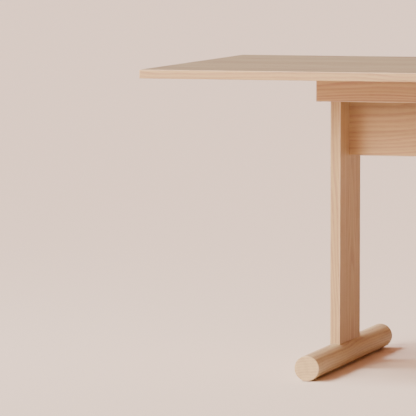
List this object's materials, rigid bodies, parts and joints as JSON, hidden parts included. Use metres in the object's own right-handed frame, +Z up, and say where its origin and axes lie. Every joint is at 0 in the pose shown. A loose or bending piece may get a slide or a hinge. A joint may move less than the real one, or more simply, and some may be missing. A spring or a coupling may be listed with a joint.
{
  "type": "communion table",
  "caption": "Plain solid-wood trestle table: a thin top on a shallow beam box, plank posts joined by a deep central web, and round log feet.",
  "frame": {"origin": "on the floor, under the middle of the tabletop", "axes": "+X along the table, +Y from front to back, +Z up"},
  "size_m": [2, 0.9, 0.735],
  "materials": {
    "tabletop_ash": "clear matt lacquered ash, lengthwise grain",
    "frame_ash": "clear matt oiled ash",
    "black_steel": "black powder coat, fine texture",
    "zinc_steel": "bright zinc plated",
    "dowel_beech": "plain beech",
    "glide_nylon": "moulded nylon"
  },
  "bodies": {
    "root": {"top_board_1": "tabletop_ash", "top_board_2": "tabletop_ash", "top_board_3": "tabletop_ash", "top_board_4": "tabletop_ash", "top_board_5": "tabletop_ash", "top_board_6": "tabletop_ash", "top_board_7": "tabletop_ash", "rail_front": "frame_ash", "rail_back": "frame_ash", "end_rail_left": "frame_ash", "end_rail_right": "frame_ash", "rib_front_left": "frame_ash", "rib_front_right": "frame_ash", "rib_back_left": "frame_ash", "rib_back_right": "frame_ash", "web": "frame_ash", "post_left": "frame_ash", "post_right": "frame_ash", "foot_left": "frame_ash", "foot_right": "frame_ash", "top_channel_left": "black_steel", "top_channel_middle": "black_steel", "top_channel_right": "black_steel", "top_bracket_1": "zinc_steel", "top_bracket_2": "zinc_steel", "top_bracket_3": "zinc_steel", "top_bracket_4": "zinc_steel", "top_bracket_5": "zinc_steel", "top_bracket_6": "zinc_steel", "top_bracket_7": "zinc_steel", "top_bracket_8": "zinc_steel", "channel_screws": "zinc_steel", "bracket_screws": "zinc_steel", "post_bolts": "zinc_steel", "barrel_nuts": "zinc_steel", "foot_bolts": "zinc_steel", "insert_nuts": "zinc_steel", "rail_dowels": "dowel_beech", "web_dowels": "dowel_beech", "glide_front_left": "glide_nylon", "glide_back_left": "glide_nylon", "glide_front_right": "glide_nylon", "glide_back_right": "glide_nylon"}
  },
  "joints": []
}
